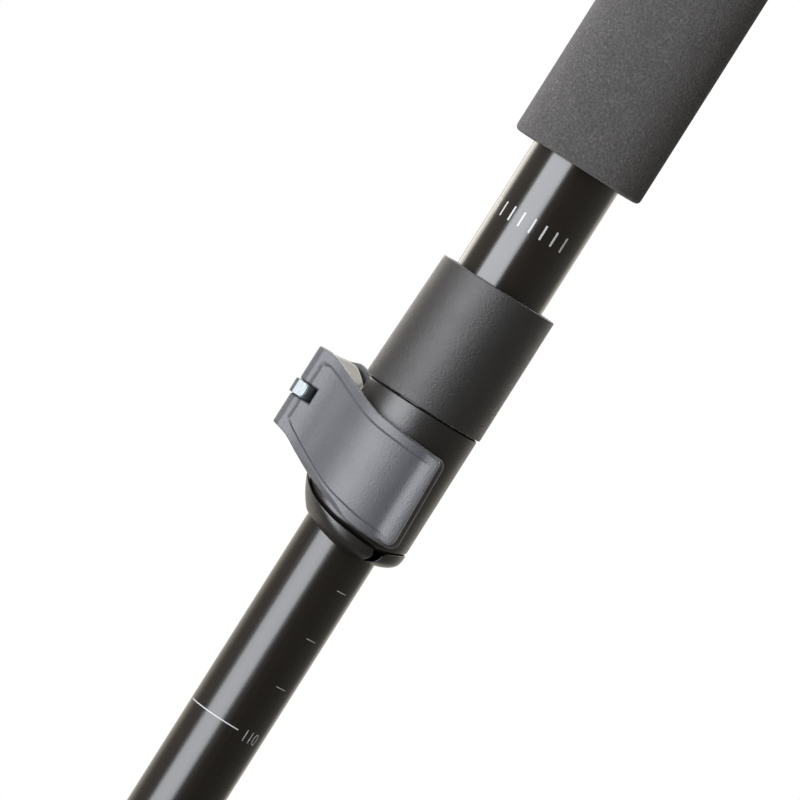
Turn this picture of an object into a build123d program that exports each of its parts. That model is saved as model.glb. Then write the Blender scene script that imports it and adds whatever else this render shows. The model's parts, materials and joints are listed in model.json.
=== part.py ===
from build123d import *

import math
import os

os.makedirs("parts", exist_ok=True)

# A folding trekking pole, in millimetres. The pole's axis is Z, with the tip's point at the origin.
# The front is -Y. The clamp's hinge ears stand out to the left, -X.

# Stations along the pole, from the ground up
total_length = 1136.0
foot_seat_low = 26.0
foot_seat_high = 40.0
basket_seat_low = 50.0
basket_seat_high = 60.0
tip_ferrule_top = 92.0
lower_joint = 338.0
upper_joint = 672.0
clamp_low = 751.0
clamp_ring_top = 755.2
tube_end = 763.0
split_line = 779.0
collar_top = 803.6
foam_low = 829.7
foam_high = 1000.0
cap_low = 1108.0
upper_tube_top = 1104.0
scale_shaft_top = 975.0

# Radii
foam_radius = 12.8
upper_tube_radius = 8.7
upper_tube_bore = 7.65
collar_radius = 11.4
clamp_radius = 11.05
shaft_radius = 7.42
shaft_bore = 6.5
slider_radius = 6.1
slider_bore = 5.2
middle_radius = 7.0
middle_bore = 6.2
ferrule_radius = 5.5
lower_radius = 6.3
lower_bore = 5.6
cord_radius = 1.0
cord_hole = 1.6
foot_seat_radius = 5.0

# Clearances
slide_gap = 0.08
part_gap = 0.2

# Clamp, in a frame turned about the pole so that the ears lie along its X axis
ear_turn = -27.0
ear_length = 20.3
ear_half_thickness = 4.4
ear_low = split_line - 15.4
ear_high = split_line - part_gap
slit_width = 1.2
bolt_height = split_line - 8.8
bolt_radius = 1.3
pivot_x = -18.0
pivot_y = -7.2
pivot_pin_radius = 1.1
pivot_barrel_radius = 1.9
barrel_height = 2.7
lever_eye_radius = 2.0
cam_offset = 0.2
cam_plate_thickness = 0.3
running_gap = 0.05

# Lever
lever_outer = 13.0
lever_inner = 11.4
lever_notch_height = 2.9
lever_low = split_line - 24.0
lever_high = split_line - 0.7

# Release button
button_height = 686.0
button_radius = 2.5
button_travel = 2.7


def save(builder, label):
    builder.part.label = label
    export_step(builder.part, "parts/" + label + ".step")


def tube(outer, inner, low, high):
    """A plain round tube between two stations."""
    with BuildPart() as made:
        with BuildSketch(Plane.XY.offset(low)):
            Circle(outer)
            Circle(inner, mode=Mode.SUBTRACT)
        extrude(amount=high - low)
    return made


def turned(profile):
    """A solid turned about the pole's axis from (radius, station) points, listed in order."""
    with BuildPart() as made:
        with BuildSketch(Plane.XZ):
            with BuildLine():
                Polyline(*profile, close=True)
            make_face()
        revolve(axis=Axis.Z)
    return made


def clamp_plane(station):
    """The clamp's own XY plane at a station: its X axis runs along the ears."""
    return Plane.XY.offset(station).rotated((0, 0, ear_turn))


def clamp_point(x, y):
    """A point of the clamp's own frame, in the pole's frame."""
    angle = math.radians(ear_turn)
    return (
        x * math.cos(angle) - y * math.sin(angle),
        x * math.sin(angle) + y * math.cos(angle),
    )


def across_clamp(x, y, station):
    """A plane whose normal is the bolt's direction, which is the clamp's own +Y."""
    point = clamp_point(x, y)
    toward = clamp_point(0, 1)
    along = clamp_point(1, 0)
    return Plane(
        origin=(point[0], point[1], station),
        x_dir=(along[0], along[1], 0),
        z_dir=(toward[0], toward[1], 0),
    )


# Grip: a palm-shaped body on the upper tube, with a hard cap that takes the wrist strap.
grip_sections = [
    (foam_high, 13.6, 14.6),
    (1012.0, 15.2, 17.2),
    (1034.0, 13.8, 15.6),
    (1068.0, 14.8, 17.2),
    (cap_low, 16.2, 19.4),
]
with BuildPart() as grip_body:
    for station, half_width, half_depth in grip_sections:
        with BuildSketch(Plane.XY.offset(station)):
            Ellipse(half_width, half_depth)
    loft()
    with BuildSketch(Plane.XY.offset(foam_high)):
        Circle(upper_tube_radius)
    extrude(amount=cap_low - foam_high, mode=Mode.SUBTRACT)
save(grip_body, "grip_body")

# The slot opens at the back, and its cross pin stands near the top, above the strap's way in.
strap_slot_width = 18.0
strap_slot_height = 9.0
strap_slot_station = 1118.0
strap_slot_front = -7.4
strap_pin_radius = 1.0
with BuildPart() as grip_cap:
    with BuildSketch(Plane.XY.offset(cap_low)):
        Ellipse(16.2, 19.4)
    extrude(amount=total_length - cap_low)
    fillet(grip_cap.edges().group_by(Axis.Z)[-1], 9.0)
    with BuildSketch(Plane.XZ.offset(-30)):
        with Locations((0, strap_slot_station)):
            RectangleRounded(strap_slot_width, strap_slot_height, 0.8)
    extrude(amount=30 - strap_slot_front, mode=Mode.SUBTRACT)
save(grip_cap, "grip_cap")

with BuildPart() as strap_pin:
    with BuildSketch(Plane.YZ.offset(-strap_slot_width / 2)):
        with Locations((12.0, strap_slot_station + 2.6)):
            Circle(strap_pin_radius)
    extrude(amount=strap_slot_width)
save(strap_pin, "strap_pin")

with BuildPart() as foam_sleeve:
    with BuildSketch(Plane.XY.offset(foam_low)):
        Circle(foam_radius)
        Circle(upper_tube_radius, mode=Mode.SUBTRACT)
    extrude(amount=foam_high - foam_low)
    fillet(foam_sleeve.edges().filter_by(GeomType.CIRCLE).sort_by(SortBy.RADIUS)[-2:].sort_by(Axis.Z)[0], 1.1)
save(foam_sleeve, "foam_sleeve")

save(tube(upper_tube_radius, upper_tube_bore, tube_end, upper_tube_top), "upper_tube")

# The collar sleeve's top edge carries a thin raised lip.
collar_lip = 0.9
save(
    turned(
        [
            (upper_tube_radius, split_line),
            (collar_radius, split_line),
            (collar_radius, collar_top - collar_lip),
            (collar_radius - 0.25, collar_top - 0.3),
            (collar_radius - 0.6, collar_top),
            (upper_tube_radius, collar_top),
        ]
    ),
    "collar_sleeve",
)

# Clamp body: a split sleeve round the tube's end, with two ears for the bolt.
with BuildPart() as clamp_body:
    with BuildSketch(Plane.XY.offset(clamp_ring_top)):
        Circle(clamp_radius)
    extrude(amount=ear_high - clamp_ring_top)
    with BuildSketch(clamp_plane(ear_low)):
        with Locations((-ear_length / 2, 0)):
            Rectangle(ear_length, 2 * ear_half_thickness)
    extrude(amount=ear_high - ear_low)
    with BuildSketch(clamp_plane(clamp_ring_top)):
        with Locations((-ear_length / 2 - 3, 0)):
            Rectangle(ear_length + 6, slit_width)
    extrude(amount=ear_high - clamp_ring_top, mode=Mode.SUBTRACT)
    with BuildSketch(Plane.XY.offset(clamp_ring_top)):
        Circle(upper_tube_radius + 0.02)
    extrude(amount=ear_high - clamp_ring_top, mode=Mode.SUBTRACT)
    with BuildSketch(across_clamp(pivot_x, 0, bolt_height)):
        Circle(bolt_radius + 0.2)
    extrude(amount=3 * ear_half_thickness, both=True, mode=Mode.SUBTRACT)
    outer_ends = (
        clamp_body.edges()
        .filter_by(Axis.Z)
        .filter_by(lambda e: math.hypot(e.center().X, e.center().Y) > ear_length - 0.5)
    )
    fillet(outer_ends, 0.3)
save(clamp_body, "clamp_body")

# Bottom ring: a rounded foot under the clamp body, notched at the front right.
ring_notch_angle = 36.0
with BuildPart() as clamp_ring:
    with BuildSketch(Plane.XZ):
        with BuildLine():
            Polyline(
                (shaft_radius + 0.25, clamp_low),
                (8.9, clamp_low),
                (10.3, clamp_low + 1.0),
                (10.8, clamp_low + 2.2),
                (10.9, clamp_ring_top - 0.05),
                (shaft_radius + 0.25, clamp_ring_top - 0.05),
                close=True,
            )
        make_face()
    revolve(axis=Axis.Z)
    with BuildSketch(Plane.XY.offset(clamp_low).rotated((0, 0, ring_notch_angle))):
        with Locations((0, -clamp_radius)):
            Rectangle(1.6, 5.0)
    extrude(amount=clamp_ring_top - clamp_low, mode=Mode.SUBTRACT)
save(clamp_ring, "clamp_ring")

save(
    tube(upper_tube_radius, shaft_radius + slide_gap, clamp_ring_top, tube_end - 0.1),
    "clamp_liner",
)

# The cam plate lies on the front ear, where the lever's cam bears.
with BuildPart() as cam_plate:
    with BuildSketch(across_clamp(pivot_x, -ear_half_thickness, bolt_height)):
        with Locations((0, 1.4)):
            RectangleRounded(4.2, 12.4, 0.6)
        Circle(bolt_radius + 0.2, mode=Mode.SUBTRACT)
    extrude(amount=-cam_plate_thickness)
save(cam_plate, "cam_plate")

# Pivot: a steel barrel with two pins, cross-drilled for the bolt.
pin_half_length = 6.2
with BuildPart() as pivot_barrel:
    with BuildSketch(clamp_plane(bolt_height - pin_half_length)):
        with Locations((pivot_x, pivot_y)):
            Circle(pivot_pin_radius)
    extrude(amount=2 * pin_half_length)
    with BuildSketch(clamp_plane(bolt_height - barrel_height / 2)):
        with Locations((pivot_x, pivot_y)):
            Circle(pivot_barrel_radius)
    extrude(amount=barrel_height)
    with BuildSketch(across_clamp(pivot_x, pivot_y, bolt_height)):
        Circle(bolt_radius + running_gap)
    extrude(amount=pivot_barrel_radius + 1, both=True, mode=Mode.SUBTRACT)
save(pivot_barrel, "pivot_barrel")

washer_face = ear_half_thickness + 0.02
washer_thickness = 0.8
with BuildPart() as bolt_washer:
    with BuildSketch(across_clamp(pivot_x, washer_face, bolt_height)):
        Circle(3.2)
        Circle(bolt_radius + 0.1, mode=Mode.SUBTRACT)
    extrude(amount=washer_thickness)
save(bolt_washer, "bolt_washer")

# The bolt runs through both ears and the barrel. Its slotted head faces back, and its end shows in front.
bolt_head_face = washer_face + washer_thickness + 0.05
bolt_head_height = 2.4
bolt_head_radius = 2.9
bolt_end = pivot_y - 2.1
with BuildPart() as tension_bolt:
    with BuildSketch(across_clamp(pivot_x, bolt_end, bolt_height)):
        Circle(bolt_radius)
    extrude(amount=bolt_head_face - bolt_end)
    with BuildSketch(across_clamp(pivot_x, bolt_head_face, bolt_height)):
        Circle(bolt_head_radius)
    extrude(amount=bolt_head_height)
    with BuildSketch(across_clamp(pivot_x, bolt_head_face + bolt_head_height, bolt_height)):
        Rectangle(2 * bolt_head_radius + 1, 0.9)
    extrude(amount=-1.1, mode=Mode.SUBTRACT)
save(tension_bolt, "tension_bolt")

# Lever: a shell that wraps the clamp from the ear to the front right, with a cam eye at its hinge.
# Its side outline is drawn in the XZ plane, from the hinge end to the finger lip.
lever_plate_front = -9.42
lever_plate_back = -7.4
lever_plate_end = -18.9
crease_angle = -43.0
lip_angle = 68.0
notch_wall = -15.1


def polar(radius, angle):
    """A point of the clamp's own frame at an angle from its front, positive to the right."""
    return (
        radius * math.sin(math.radians(angle)),
        -radius * math.cos(math.radians(angle)),
    )


with BuildPart() as lever:
    with BuildSketch(clamp_plane(lever_low)):
        with BuildLine():
            outer_start = polar(lever_outer, crease_angle)
            outer_end = polar(lever_outer, lip_angle)
            inner_start = polar(lever_inner, crease_angle + 2)
            inner_end = polar(lever_inner, lip_angle)
            ThreePointArc(outer_start, polar(lever_outer, 0), outer_end)
            Line(outer_end, inner_end)
            ThreePointArc(inner_end, polar(lever_inner, 0), inner_start)
            Line(inner_start, (-11.0, lever_plate_back))
            Line((-11.0, lever_plate_back), (pivot_x, lever_plate_back))
            Line((pivot_x, lever_plate_back), (pivot_x, pivot_y))
            Line((pivot_x, pivot_y), (pivot_x - lever_eye_radius, pivot_y))
            Line((pivot_x - lever_eye_radius, pivot_y), (lever_plate_end, lever_plate_front))
            Line((lever_plate_end, lever_plate_front), outer_start)
        make_face()
        with Locations((pivot_x, pivot_y + cam_offset)):
            Circle(lever_eye_radius)
        with Locations((pivot_x, pivot_y)):
            Circle(pivot_pin_radius + slide_gap, mode=Mode.SUBTRACT)
    extrude(amount=lever_high - lever_low)
    with BuildSketch(Plane.XZ.offset(-40)):
        with BuildLine():
            top_edge = Spline(
                (-24.0, split_line - 0.8),
                (-17.6, split_line - 0.8),
                (-12.5, split_line - 2.7),
                (-6.7, split_line - 4.6),
                (5.9, split_line - 5.8),
            )
            lip_corner = ThreePointArc(
                (5.9, split_line - 5.8), (7.7, split_line - 6.6), (8.5, split_line - 8.4)
            )
            free_end = Line((8.5, split_line - 8.4), (8.5, split_line - 21.4))
            low_corner = ThreePointArc(
                (8.5, split_line - 21.4), (7.8, split_line - 23.1), (6.1, split_line - 23.9)
            )
            low_edge = Spline(
                (6.1, split_line - 23.9),
                (-1.2, split_line - 23.4),
                (-6.7, split_line - 22.2),
                (-11.5, split_line - 20.3),
                (-18.4, split_line - 17.0),
                (-24.0, split_line - 16.0),
            )
            Line((-24.0, split_line - 16.0), (-24.0, split_line - 0.8))
        make_face()
    extrude(amount=80, mode=Mode.INTERSECT)
    # The notch lets the bolt's barrel show through the hinge end.
    with BuildSketch(clamp_plane(bolt_height - lever_notch_height / 2)):
        with Locations((notch_wall - 4.0, pivot_y)):
            Rectangle(8.0, 6.4)
    extrude(amount=lever_notch_height, mode=Mode.SUBTRACT)
save(lever, "lever")

# Telescoping shaft with the scale
with BuildPart() as scale_shaft:
    with BuildSketch(Plane.XY.offset(upper_joint)):
        Circle(shaft_radius)
        Circle(shaft_bore, mode=Mode.SUBTRACT)
    extrude(amount=scale_shaft_top - upper_joint)
    with BuildSketch(Plane.XZ):
        with Locations((0, button_height)):
            Circle(button_radius + 0.1)
    extrude(amount=2 * shaft_radius, mode=Mode.SUBTRACT)
save(scale_shaft, "scale_shaft")

guide_length = 16.0
save(
    turned(
        [
            (5.2, scale_shaft_top - guide_length),
            (shaft_bore, scale_shaft_top - guide_length),
            (shaft_bore, scale_shaft_top),
            (upper_tube_bore - slide_gap, scale_shaft_top),
            (upper_tube_bore - slide_gap, scale_shaft_top + 6.0),
            (5.2, scale_shaft_top + 6.0),
        ]
    ),
    "guide_bush",
)

end_bush_length = 9.0
save(
    tube(shaft_bore, slider_radius + 0.05, upper_joint, upper_joint + end_bush_length),
    "end_bush",
)

collar_length = 6.5
collar_wall = 1.15
save(
    turned(
        [
            (shaft_radius, upper_joint),
            (shaft_radius + collar_wall, upper_joint),
            (shaft_radius + collar_wall, upper_joint + collar_length - 1.0),
            (shaft_radius + 0.4, upper_joint + collar_length),
            (shaft_radius, upper_joint + collar_length),
        ]
    ),
    "shaft_end_collar",
)

# The slider is the upper joint's male ferrule. The button stands in its wall.
slider_low = upper_joint - 40.0
slider_high = upper_joint + 34.0
slider_end_wall = 4.0
with BuildPart() as lock_slider:
    with BuildSketch(Plane.XY.offset(slider_low)):
        Circle(slider_radius)
    extrude(amount=slider_high - slider_low)
    chamfer(lock_slider.edges().group_by(Axis.Z)[0], 1.2)
    with BuildSketch(Plane.XY.offset(slider_low + slider_end_wall)):
        Circle(slider_bore)
    extrude(amount=slider_high - slider_low - 2 * slider_end_wall, mode=Mode.SUBTRACT)
    with BuildSketch(Plane.XY.offset(slider_low)):
        Circle(cord_hole)
    extrude(amount=slider_high - slider_low, mode=Mode.SUBTRACT)
    with BuildSketch(Plane.XZ):
        with Locations((0, button_height)):
            Circle(button_radius + 0.1)
    extrude(amount=2 * shaft_radius, mode=Mode.SUBTRACT)
save(lock_slider, "lock_slider")

cord_top = slider_high + 7.0
save(
    tube(3.2, cord_radius + 0.1, slider_high + 0.05, cord_top - 1.0),
    "cord_stop",
)

# Button: a short plunger with a flange inside the slider, and a domed face outside the shaft.
button_face = shaft_radius + 1.7
button_flange = 4.6
with BuildPart() as release_button:
    with BuildSketch(Plane.XZ.offset(button_flange - 0.8)):
        with Locations((0, button_height)):
            Rectangle(4.4, 6.8)
    extrude(amount=0.7)
    with BuildSketch(Plane.XZ.offset(button_flange - 0.2)):
        with Locations((0, button_height)):
            Circle(button_radius)
    extrude(amount=button_face - button_flange + 0.2)
    fillet(release_button.faces().sort_by(Axis.Y)[0].edges(), 0.7)
    with BuildSketch(Plane.XY.offset(button_height - 12)):
        Circle(slider_bore - 0.05)
        with Locations((0, -10 - 2)):
            Rectangle(2 * button_radius + 0.2, 20)
    extrude(amount=24, mode=Mode.INTERSECT)
save(release_button, "release_button")

# The leaf spring is a bent band that stands beside the cord, between the button and the slider's far wall.
leaf_thickness = 0.3
leaf_half_height = 7.5
with BuildPart() as button_spring:
    with BuildSketch(Plane.YZ.offset(1.5)):
        with BuildLine():
            Polyline(
                (-button_flange + 0.95, button_height + 2.0),
                (-button_flange + 0.95, button_height - leaf_half_height),
                (slider_bore - 1.6, button_height - leaf_half_height),
                (slider_bore - 1.6, button_height + leaf_half_height),
            )
            offset(amount=leaf_thickness / 2, side=Side.BOTH)
        make_face()
    extrude(amount=1.6)
save(button_spring, "button_spring")


def joint_collar(low, high, inner, outer, bevel_up):
    """A moulded ring at a tube's end, bevelled on its far side."""
    bevel = 1.0
    if bevel_up:
        profile = [(inner, low), (outer, low), (outer, high - bevel), (inner + 0.3, high), (inner, high)]
    else:
        profile = [(inner, low), (inner + 0.3, low), (outer, low + bevel), (outer, high), (inner, high)]
    return turned(profile)


# Middle folding section
save(
    joint_collar(upper_joint - part_gap - 6.5, upper_joint - part_gap, middle_radius, 8.2, False),
    "middle_top_collar",
)
save(tube(middle_radius, middle_bore, lower_joint, upper_joint - part_gap), "middle_tube")
save(joint_collar(lower_joint, lower_joint + 6.5, middle_radius, 8.0, True), "middle_end_collar")

ferrule_head = 30.0
ferrule_reach = 36.0
cone_length = 9.0
save(
    turned(
        [
            (cord_hole, lower_joint - ferrule_reach),
            (ferrule_radius, lower_joint - ferrule_reach),
            (ferrule_radius, lower_joint),
            (middle_bore, lower_joint),
            (middle_bore, lower_joint + ferrule_head),
            (cord_hole, lower_joint + ferrule_head),
        ]
    ),
    "lower_ferrule",
)
save(
    turned(
        [
            (cord_hole, lower_joint - ferrule_reach - cone_length),
            (2.6, lower_joint - ferrule_reach - cone_length),
            (ferrule_radius - 0.3, lower_joint - ferrule_reach),
            (cord_hole, lower_joint - ferrule_reach),
        ]
    ),
    "ferrule_cone",
)

# Lower folding section
lower_tube_low = 64.0
save(
    joint_collar(lower_joint - part_gap - 6.0, lower_joint - part_gap, lower_radius, 7.5, False),
    "lower_top_collar",
)
save(tube(lower_radius, lower_bore, lower_tube_low, lower_joint - part_gap), "lower_tube")

anchor_station = 230.0
spring_coils = 9
spring_pitch = 2.6
spring_wire = 0.5
spring_radius = 3.6
with BuildPart() as tension_spring:
    with BuildLine():
        coil = Helix(
            pitch=spring_pitch,
            height=spring_pitch * spring_coils,
            radius=spring_radius,
            center=(0, 0, anchor_station + 4.0),
        )
    with BuildSketch(Plane(origin=coil @ 0, z_dir=coil % 0)):
        Circle(spring_wire)
    sweep()
save(tension_spring, "tension_spring")

save(tube(lower_bore - 0.1, cord_radius + 0.05, anchor_station, anchor_station + 3.0), "cord_anchor")
save(tube(lower_bore, 2.2, anchor_station + 32.0, anchor_station + 36.0), "spring_seat")

with BuildPart() as tension_cord:
    with BuildSketch(Plane.XY.offset(anchor_station - 6.0)):
        Circle(cord_radius)
    extrude(amount=cord_top - anchor_station + 6.0)
save(tension_cord, "tension_cord")

# Tip ferrule: pushed over the lower tube, with a seat for the basket and a land for a rubber foot.
save(
    turned(
        [
            (0, 22.0),
            (4.4, 22.0),
            (foot_seat_radius, foot_seat_low),
            (foot_seat_radius, foot_seat_high),
            (6.4, 44.0),
            (7.0, basket_seat_low),
            (7.0, basket_seat_high),
            (8.4, basket_seat_high + 0.1),
            (8.4, basket_seat_high + 3.0),
            (7.7, basket_seat_high + 4.0),
            (7.2, tip_ferrule_top),
            (lower_radius, tip_ferrule_top),
            (lower_radius, lower_tube_low - 0.1),
            (0, lower_tube_low - 0.1),
        ]
    ),
    "tip_ferrule",
)

basket_radius = 26.0
basket_holes = 8
with BuildPart() as basket:
    with BuildSketch(Plane.XZ):
        with BuildLine():
            Polyline(
                (7.05, basket_seat_low),
                (9.6, basket_seat_low),
                (10.4, 54.6),
                (24.2, 57.6),
                (basket_radius, 56.6),
                (basket_radius, 58.2),
                (24.4, 59.8),
                (10.4, 57.6),
                (9.4, basket_seat_high - 0.1),
                (7.05, basket_seat_high - 0.1),
                close=True,
            )
        make_face()
    revolve(axis=Axis.Z)
    with BuildSketch(Plane.XY.offset(basket_seat_low)):
        with PolarLocations(17.0, basket_holes):
            SlotOverall(9.0, 5.2)
    extrude(amount=basket_seat_high - basket_seat_low, mode=Mode.SUBTRACT)
save(basket, "basket")

save(
    turned([(0, 9.0), (3.1, 9.0), (3.5, 12.0), (4.2, 21.9), (0, 21.9)]),
    "flex_tip",
)

with BuildPart() as carbide_tip:
    with BuildSketch(Plane.XZ):
        with BuildLine():
            Polyline((0, 0.9), (1.5, 0.0), (2.2, 0.6), (2.3, 8.9), (0, 8.9), close=True)
        make_face()
    revolve(axis=Axis.Z)
save(carbide_tip, "carbide_tip")
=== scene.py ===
"""Looks for a folding trekking pole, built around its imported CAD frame.

The pole stands along Z with its tip at the origin, and its front is -Y.
Shapes are worked out in millimetres and stored in metres.
"""

import json
import math

import bpy
import numpy as np
from mathutils import Matrix, Vector


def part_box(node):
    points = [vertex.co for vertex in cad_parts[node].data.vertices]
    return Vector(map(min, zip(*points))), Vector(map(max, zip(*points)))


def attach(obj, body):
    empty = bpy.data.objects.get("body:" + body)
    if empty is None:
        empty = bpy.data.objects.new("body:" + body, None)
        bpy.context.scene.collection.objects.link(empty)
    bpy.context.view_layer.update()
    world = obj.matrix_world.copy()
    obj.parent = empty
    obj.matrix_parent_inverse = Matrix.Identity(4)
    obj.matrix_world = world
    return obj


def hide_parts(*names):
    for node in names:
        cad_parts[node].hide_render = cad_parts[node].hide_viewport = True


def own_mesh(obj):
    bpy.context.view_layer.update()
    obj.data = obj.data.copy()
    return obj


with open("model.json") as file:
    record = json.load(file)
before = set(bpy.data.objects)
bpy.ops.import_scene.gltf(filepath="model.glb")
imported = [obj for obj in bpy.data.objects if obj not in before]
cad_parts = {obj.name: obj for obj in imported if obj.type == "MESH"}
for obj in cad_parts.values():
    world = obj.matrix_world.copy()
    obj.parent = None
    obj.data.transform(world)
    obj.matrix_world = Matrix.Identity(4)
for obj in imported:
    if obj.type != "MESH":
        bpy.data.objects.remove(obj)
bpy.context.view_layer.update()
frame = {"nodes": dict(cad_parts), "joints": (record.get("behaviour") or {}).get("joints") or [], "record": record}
MM = 0.001
ROOT_HALF = math.sqrt(0.5)


# ---------------------------------------------------------------- places read from the frame
def low(node):
    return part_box(node)[0] / MM


def high(node):
    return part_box(node)[1] / MM


joints = {joint["name"]: joint for joint in frame["joints"]}
PIVOT = Vector(joints["lever_open"]["pos_m"]) / MM
BOLT_DIRECTION = Vector(joints["clamp_screw_turn"]["axis"])
SPLIT = low("collar_sleeve").z
SHAFT_RADIUS = high("scale_shaft").x
TUBE_RADIUS = high("upper_tube").x
FOAM_RADIUS = high("foam_sleeve").x
COLLAR_RADIUS = high("collar_sleeve").x
CLAMP_RADIUS = high("clamp_body").x


def clamp_frame(x, y):
    """The clamp's own coordinates of a point: u runs from the ears to the pole, and w along the bolt."""
    u = x * BOLT_DIRECTION.y - y * BOLT_DIRECTION.x
    w = x * BOLT_DIRECTION.x + y * BOLT_DIRECTION.y
    return u, w


PIVOT_U, PIVOT_W = clamp_frame(PIVOT.x, PIVOT.y)


# ---------------------------------------------------------------- distance fields
def smooth_min(a, b, k):
    h = np.clip(0.5 + 0.5 * (b - a) / k, 0, 1)
    return b * (1 - h) + a * h - k * h * (1 - h)


def smooth_max(a, b, k):
    return -smooth_min(-a, -b, k)


def round_max(a, b, r):
    """The solid common to a and b, with their edge rounded to radius r."""
    return np.minimum(np.maximum(a, b), -r) + np.hypot(np.maximum(a + r, 0), np.maximum(b + r, 0))


def bevel_max(a, b, c):
    """The solid common to a and b, with their edge cut at 45 degrees."""
    return np.maximum(np.maximum(a, b), (a + b + c) * ROOT_HALF)


def smooth_step(x, start, end):
    t = np.clip((x - start) / (end - start), 0, 1)
    return t * t * (3 - 2 * t)


def through(x, points):
    """A smooth curve through (x, value) points, flat beyond its ends."""
    xs, ys = np.array(points, float).T
    slopes = np.gradient(ys, xs)
    x = np.clip(x, xs[0], xs[-1])
    i = np.clip(np.searchsorted(xs, x) - 1, 0, len(xs) - 2)
    h = xs[i + 1] - xs[i]
    t = (x - xs[i]) / h
    a = (1 + 2 * t) * (1 - t) ** 2 * ys[i] + t * (1 - t) ** 2 * h * slopes[i]
    return a + t * t * (3 - 2 * t) * ys[i + 1] + t * t * (t - 1) * h * slopes[i + 1]


def box_field(x, y, x0, x1, y0, y1):
    return np.maximum(np.maximum(x0 - x, x - x1), np.maximum(y0 - y, y - y1))


def skin(field, corner, far_corner, step):
    """Vertices and quads of the surface where field is zero, by surface nets, then moved onto it."""
    corner = np.array(corner, float)
    counts = np.ceil((np.array(far_corner, float) - corner) / step).astype(int) + 1
    axes = [corner[k] + step * np.arange(counts[k]) for k in range(3)]
    grid = np.meshgrid(*axes, indexing="ij", sparse=True)
    values = np.broadcast_to(field(*grid), counts).astype(np.float32)
    inside = values < 0
    cells, points, quads = [], [], []
    for axis in range(3):
        near = [slice(None)] * 3
        far = [slice(None)] * 3
        near[axis], far[axis] = slice(0, -1), slice(1, None)
        index = np.argwhere(inside[tuple(near)] != inside[tuple(far)])
        step_on = np.eye(3, dtype=int)[axis]
        a = values[tuple(index.T)]
        b = values[tuple((index + step_on).T)]
        point = index + np.outer(a / (a - b), step_on)
        across, up = np.eye(3, dtype=int)[(axis + 1) % 3], np.eye(3, dtype=int)[(axis + 2) % 3]
        ring = [index, index - across, index - across - up, index - up]
        ids = np.stack([np.ravel_multi_index(cell.T, counts) for cell in ring], 1)
        ids[a >= 0] = ids[a >= 0][:, ::-1]
        cells.append(ids.ravel())
        points.append(np.repeat(point, 4, 0))
        quads.append(ids)
    cells, points = np.concatenate(cells), np.concatenate(points)
    names, order = np.unique(cells, return_inverse=True)
    totals = np.bincount(order)
    middle = np.stack([np.bincount(order, points[:, k]) / totals for k in range(3)], 1)
    vertices = corner + middle * step
    faces = np.searchsorted(names, np.concatenate(quads))
    small = step * 0.05
    for _ in range(4):
        value = field(*vertices.T)
        slope = np.stack(
            [
                (field(*(vertices + s).T) - field(*(vertices - s).T)) / (2 * small)
                for s in np.eye(3) * small
            ],
            1,
        )
        move = -value[:, None] * slope / np.maximum((slope**2).sum(1), 0.05)[:, None]
        length = np.linalg.norm(move, axis=1, keepdims=True)
        vertices = vertices + move * np.minimum(1, 0.5 * step / np.maximum(length, 1e-9))
    return vertices, faces


# ---------------------------------------------------------------- making pieces
def piece(name, vertices, faces, body, material, replaces=(), sharp=None):
    """A mesh object from millimetre vertices, riding on a body. Edges over sharp degrees stay crisp."""
    mesh = bpy.data.meshes.new(name)
    faces = [list(map(int, f)) for f in faces]
    mesh.from_pydata((np.asarray(vertices) * MM).tolist(), [], faces)
    mesh.update()
    mesh.shade_smooth()
    if sharp is not None:
        mesh.set_sharp_from_angle(angle=math.radians(sharp))
    obj = bpy.data.objects.new(name, mesh)
    bpy.context.scene.collection.objects.link(obj)
    mesh.materials.append(material)
    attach(obj, body)
    if replaces:
        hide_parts(*replaces)
    return obj


def rounded(profile, radii, steps=5):
    """A closed (radius, height) outline with rounded corners. radii holds one radius for each corner."""
    made = []
    count = len(profile)
    for k, (point, radius) in enumerate(zip(profile, radii)):
        here = np.array(point, float)
        back = np.array(profile[k - 1], float) - here
        on = np.array(profile[(k + 1) % count], float) - here
        back_length, on_length = np.linalg.norm(back), np.linalg.norm(on)
        back, on = back / back_length, on / on_length
        half = math.acos(max(-1, min(1, float(back @ on)))) / 2
        reach = min(radius / max(math.tan(half), 1e-6), 0.49 * back_length, 0.49 * on_length)
        if radius <= 0 or half > math.radians(89):
            made.append(tuple(here))
            continue
        start, end = here + back * reach, here + on * reach
        for t in np.linspace(0, 1, steps + 1):
            made.append(tuple((1 - t) ** 2 * start + 2 * t * (1 - t) * here + t * t * end))
    return made


def lathe(profile, segments=160, warp=None):
    """Vertices and faces of a closed (radius, height) outline turned about the pole's axis."""
    outline = np.array(profile, float)
    angles = np.linspace(0, 2 * math.pi, segments, endpoint=False)
    rows = len(outline)
    r, z = outline[:, 0][None, :], outline[:, 1][None, :]
    if warp is not None:
        r = warp(r, angles[:, None], z)
    r = np.broadcast_to(r, (segments, rows))
    x = r * np.sin(angles)[:, None]
    y = -r * np.cos(angles)[:, None]
    vertices = np.stack([x, y, np.broadcast_to(z, (segments, rows))], 2).reshape(-1, 3)
    k, j = np.meshgrid(np.arange(segments), np.arange(rows), indexing="ij")
    k2, j2 = (k + 1) % segments, (j + 1) % rows
    faces = np.stack([k * rows + j, k2 * rows + j, k2 * rows + j2, k * rows + j2], 2)
    return vertices, faces.reshape(-1, 4)


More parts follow.
